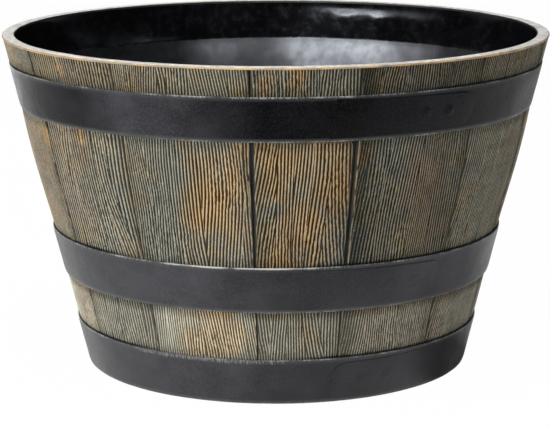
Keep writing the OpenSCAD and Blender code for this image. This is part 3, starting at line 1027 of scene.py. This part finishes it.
def makeTub():
    bm = spinOutline(tubOutline(), tub["steps"], closed=False)
    loops = {}
    for z in (tub["floorLift"], tub["floorLift"] + tub["floorThick"]):
        loop = [e for e in bm.edges if e.is_boundary and max(abs(v.co.z - z) for v in e.verts) < 1e-5]
        loops[z] = floorSheet(bm, loop, z)
    for below, above in zip(*loops.values()):
        bmesh.ops.bridge_loops(bm, edges=below + above)
    bmesh.ops.recalc_face_normals(bm, faces=bm.faces[:])
    mesh = toMesh(bm, "tubShell")
    points = getPoints(mesh)
    turn = turnsOf(points)
    radius = np.hypot(points[:, 0], points[:, 1])
    z = points[:, 2]
    wall = caskRadius(z) - cask["staveThick"] - cask["wallThick"]
    inner = (radius < wall + 0.0002) & (z > 0.03)
    push = softNoise(21, turn * 2.2 + 40, z / 0.07) + 0.4 * softNoise(22, turn * 5.5 + 40, z / 0.035)
    weld = np.exp(-((turn - math.radians(tub["weldTurn"])) * radius / tub["weldWidth"]) ** 2)
    underRim = 1 - smooth(0.3, 0.3025, z)
    amount = tub["wave"] * push * awayFromSeam(turn, 0.35) * within(z, 0.03, 0.06, 0.262, 0.272) * inner
    amount -= tub["weldRise"] * weld * smooth(0.03, 0.06, z) * underRim * inner
    dented = np.zeros_like(z)
    for degrees, high, reach, depth in tub["dents"]:
        along = (turn - math.radians(degrees)) * radius / reach
        pit = np.exp(-along ** 2 - ((z - high) / tub["dentTall"]) ** 2)
        amount -= depth * pit * underRim * inner
        dented += depth * pit * inner
    points[:, 0] -= amount * np.sin(turn)
    points[:, 1] += amount * np.cos(turn)
    setPoints(mesh, points)
    outside = smooth(wall + 0.0015, wall + 0.0028, radius) * (1 - smooth(0.302, 0.303, z))
    addNumbers(mesh, dented=smooth(0.0001, 0.0006, dented), outside=outside)
    addPiece("tubShell", mesh, tubPaint(), "pot", ["tub"], 35)


makeTub()
print("tub done")


# Drain plugs: soft black rubber, pulled by the knob
plug = {
    "gap": 0.0003,  # play in the hole and over the floor
    "lip": 0.005,  # how far the flange covers the floor round the hole
    "flange": 0.0025,
    "nose": 0.003,  # how far the stem reaches out below the floor
    "knob": 0.005,
    "knobHeight": 0.007,
    "neck": 0.003,
    "neckRound": 0.0012,
    "noseRound": 0.0015,
    "seatRound": 0.0004,
    "flangeRound": 0.001,
    "steps": 64,
    "rubber": [(0.012, 0.012, 0.012), (0.03, 0.029, 0.028)],
}


def plugRubber():
    mat = startMaterial("plugRubber")
    bloom = noise(mat, 120, 3, 0.6)
    colour = mixColour(mat, spread(mat, bloom, 0.4, 0.7), *plug["rubber"])
    rough = spread(mat, bloom, 0.3, 0.7, 0.55, 0.75)
    return plastic(mat, colour, rough, 0.4, bump(mat, noise(mat, 700, 3, 0.6), 0.15, 0.0003))


def plugOutline():
    floorTop = tub["floorLift"] + tub["floorThick"]
    hole = tub["drainRadius"]
    stem, flange = hole - plug["gap"], hole + plug["lip"]
    base = floorTop + plug["gap"]
    top = base + plug["flange"]
    low = tub["floorLift"] - plug["nose"]
    knobTop = top + plug["knobHeight"]
    knobRound = plug["knobHeight"] / 4
    nose, seat, lip, neck = (plug[key] for key in ("noseRound", "seatRound", "flangeRound", "neckRound"))
    outline = [(0, low)] + arc((stem - nose, low + nose), nose, -90, 0, 4)
    outline += [(stem, base)] + arc((flange - seat, base + seat), seat, -90, 0, 2)
    outline += arc((flange - lip, top - lip), lip, 0, 90, 4)
    outline += arc((plug["neck"] + neck, top + neck), neck, 270, 180, 4)
    outline += arc((plug["knob"] - knobRound, knobTop - knobRound), knobRound, -60, 90, 8)
    return outline + [(0, knobTop)]


def makePlugs():
    material = plugRubber()
    for number, turn in enumerate(tub["drainTurns"], 1):
        bm = spinOutline(plugOutline(), plug["steps"], closed=False)
        bmesh.ops.translate(bm, verts=bm.verts[:], vec=drainPlace(turn, 0))
        name = "drainPlug%d" % number
        addPiece(name, toMesh(bm, name), material, "plug_%d" % number, ["drain_plug_%d" % number])


makePlugs()
print("plugs done")


# Studio: white sweep, a wide bank over the camera with a hot and a dim box in it, strips at the sides
# and a box over the pot
studio = {
    "ambient": 0.2,
    "ambientGlare": 0.005,  # what reflections see of it, away from the back
    "lamps": [
        # name, degrees right of the front, height of its middle, distance, width, height, watts
        ("bankLeft", -65, 1.3, 2.2, 1.7, 0.7, 14.4),
        ("bankMiddle", -25, 1.3, 2.2, 1.7, 0.7, 6.8),
        ("bankRight", 18, 1.3, 2.2, 1.7, 0.7, 1.2),
        ("hotBox", -33, 1.18, 2.2, 2.1, 0.26, 33),
        ("dimBox", 24, 1.15, 2.2, 1.2, 0.28, 4.2),
        ("leftStrip", -136, 0.1, 1.3, 1.0, 0.2, 2.8),
        ("rightStrip", 112, 0.13, 1.4, 0.7, 0.24, 0.6),
        ("overBox", 10, 1.75, 0.35, 1.1, 0.9, 14),
    ],
    "white": 0.985,  # share of the floor's colour that is plain white to the camera
    "underPot": (0.155, 0.165),  # radii between which that ends, under the pot
    # painted shade on the floor at the right, seen only in reflections: one spot at the foot and a paler one
    # beyond it: place, radii, level
    "reflectedShade": [((0.19, -0.065, 0), 0.045, 0.11, 0.2), ((0.36, -0.02, 0), 0.08, 0.22, 0.42)],
}


def makeFloor():
    bm = bmesh.new()
    bmesh.ops.create_grid(bm, x_segments=1, y_segments=1, size=12)
    floor = bpy.data.objects.new("floor", toMesh(bm, "floor"))
    bpy.context.scene.collection.objects.link(floor)
    mat = startMaterial("whiteSweep")
    cameraRay, glossyRay, clearRay = rays(mat)
    where = addNode(mat, "SeparateXYZ", {0: place(mat)})
    # reflections see it white behind the pot, dark before it and darker towards the sides
    lit = spread(mat, where.outputs["Y"], -0.6, -0.36)
    lit = times(mat, lit, spread(mat, where.outputs["X"], -0.8, -0.45, 0.25, 1))
    lit = times(mat, lit, spread(mat, where.outputs["X"], 0.9, 1.3, 1, 0))
    # painted shade: darker spots in what reflections see of the floor beside the pot
    for spot, near, far, level in studio["reflectedShade"]:
        lit = times(mat, lit, spread(mat, distance(mat, place(mat), spot), near, far, level, 1))
    gloss = times(mat, glossyRay, calc(mat, "SUBTRACT", 1, lit))
    white = plus(mat, cameraRay, clearRay, True)
    seen = times(mat, plus(mat, white, glossyRay, True), studio["white"])
    # under the pot it is seen as dark as it is, through the open drain holes
    seen = times(mat, seen, spread(mat, distance(mat, place(mat)), *studio["underPot"]))
    dull = addNode(mat, "BsdfDiffuse", {"Color": (0.85, 0.85, 0.85, 1)})
    glow = addNode(mat, "Emission", {"Color": (1, 1, 1, 1), "Strength": spread(mat, gloss, 0, 1, 1, 0.05)})
    both = addNode(mat, "MixShader", {0: seen, 1: dull.outputs[0], 2: glow.outputs[0]})
    # seen from below the floor is clear, so that the underside can be looked at
    clear = addNode(mat, "BsdfTransparent")
    below = addNode(mat, "NewGeometry").outputs["Backfacing"]
    both = addNode(mat, "MixShader", {0: below, 1: both.outputs[0], 2: clear.outputs[0]})
    floor.data.materials.append(closeMaterial(mat, both))


def makeWorld():
    world = bpy.data.worlds.new("studio")
    world.use_nodes = True
    world.node_tree.nodes.clear()
    cameraRay, glossyRay, clearRay = rays(world)
    facing = addNode(world, "SeparateXYZ", {0: addNode(world, "TexCoord").outputs["Generated"]})
    behind = spread(world, facing.outputs["Y"], -0.05, 0.35)
    behind = times(world, behind, spread(world, facing.outputs["Z"], -0.02, 0.04, 1, 0))
    white = plus(world, cameraRay, times(world, glossyRay, behind))
    white = plus(world, white, clearRay, True)
    soft, dark, bright = (addNode(world, "Background", {"Color": (1, 1, 1, 1), "Strength": level})
                          for level in (studio["ambient"], studio["ambientGlare"], 1.0))
    glare = addNode(world, "MixShader", {0: glossyRay, 1: soft.outputs[0], 2: dark.outputs[0]})
    both = addNode(world, "MixShader", {0: white, 1: glare.outputs[0], 2: bright.outputs[0]})
    addNode(world, "OutputWorld", {"Surface": both.outputs[0]})
    bpy.context.scene.world = world


def makeLamps():
    aim = Vector((0, 0, cask["height"] / 2))
    for name, turn, high, distance, wide, tall, watts in studio["lamps"]:
        a = math.radians(turn)
        at = Vector((distance * math.sin(a), -distance * math.cos(a), high))
        lampData = bpy.data.lights.new(name, "AREA")
        lampData.shape = "RECTANGLE"
        lampData.size, lampData.size_y = wide, tall
        lampData.energy = watts
        lamp = bpy.data.objects.new(name, lampData)
        lamp.location = at
        lamp.rotation_euler = (aim - at).to_track_quat("-Z", "Y").to_euler()
        lamp.visible_camera = False
        bpy.context.scene.collection.objects.link(lamp)


makeFloor()
makeWorld()
makeLamps()
bpy.context.scene.view_settings.view_transform = "Standard"
print("studio done")
